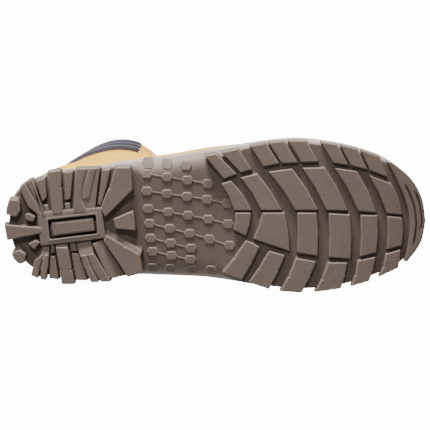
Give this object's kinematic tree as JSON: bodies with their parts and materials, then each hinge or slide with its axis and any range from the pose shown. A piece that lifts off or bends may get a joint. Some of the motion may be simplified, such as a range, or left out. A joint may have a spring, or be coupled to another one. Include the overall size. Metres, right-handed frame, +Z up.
{
  "type": "work boot",
  "caption": "Ankle-high safety boot, right foot, with a deep lugged rubber sole, a steel toe cap, a padded collar and unlaced facings.",
  "frame": {"origin": "middle of the boot's bounding box in plan, on the ground under the sole", "axes": "+X to the toe, +Y to the medial side, +Z up"},
  "size_m": [0.31, 0.113, 0.1825],
  "materials": {
    "tread_rubber": "matt taupe rubber with lighter worn edges",
    "midsole_foam": "matt foam",
    "nubuck": "wheat nubuck",
    "collar_textile": "dark blue-grey textile",
    "lining_textile": "dark spacer mesh",
    "board": "pressed fibre board",
    "steel": "pressed steel",
    "eyelet_metal": "aged nickel"
  },
  "bodies": {
    "boot": {"outsole": "tread_rubber", "heel_insert": "tread_rubber", "midsole": "midsole_foam", "shank": "steel", "insole_board": "board", "steel_toe_cap": "steel", "toe_cap_edge_strip": "tread_rubber", "heel_counter": "board", "vamp": "nubuck", "vamp_lining": "lining_textile", "quarter_lateral": "nubuck", "quarter_medial": "nubuck", "backstay": "nubuck", "eyestay_lateral": "nubuck", "eyestay_medial": "nubuck", "shaft_lining": "lining_textile", "collar_padding": "collar_textile", "gusset_lateral": "lining_textile", "gusset_medial": "lining_textile", "eyelet_lateral_1": "eyelet_metal", "eyelet_lateral_2": "eyelet_metal", "eyelet_lateral_3": "eyelet_metal", "eyelet_lateral_4": "eyelet_metal", "eyelet_lateral_5": "eyelet_metal", "eyelet_lateral_6": "eyelet_metal", "eyelet_lateral_7": "eyelet_metal", "eyelet_medial_1": "eyelet_metal", "eyelet_medial_2": "eyelet_metal", "eyelet_medial_3": "eyelet_metal", "eyelet_medial_4": "eyelet_metal", "eyelet_medial_5": "eyelet_metal", "eyelet_medial_6": "eyelet_metal", "eyelet_medial_7": "eyelet_metal"},
    "tongue": {"tongue": "collar_textile", "tongue_padding": "lining_textile"},
    "footbed": {"footbed": "lining_textile"}
  },
  "joints": [
    {"name": "tongue_hinge", "type": "hinge", "parent": "boot", "child": "tongue", "pos_m": [0.0165, 0.0045, 0.1105], "axis": [0, 1, 0], "range_deg": [0, 40], "deforming": ["gusset_lateral", "gusset_medial"]},
    {"name": "footbed_lift", "type": "hinge", "parent": "boot", "child": "footbed", "pos_m": [0.139, 0.0045, 0.043], "axis": [0, 1, 0], "range_deg": [0, 8]}
  ]
}
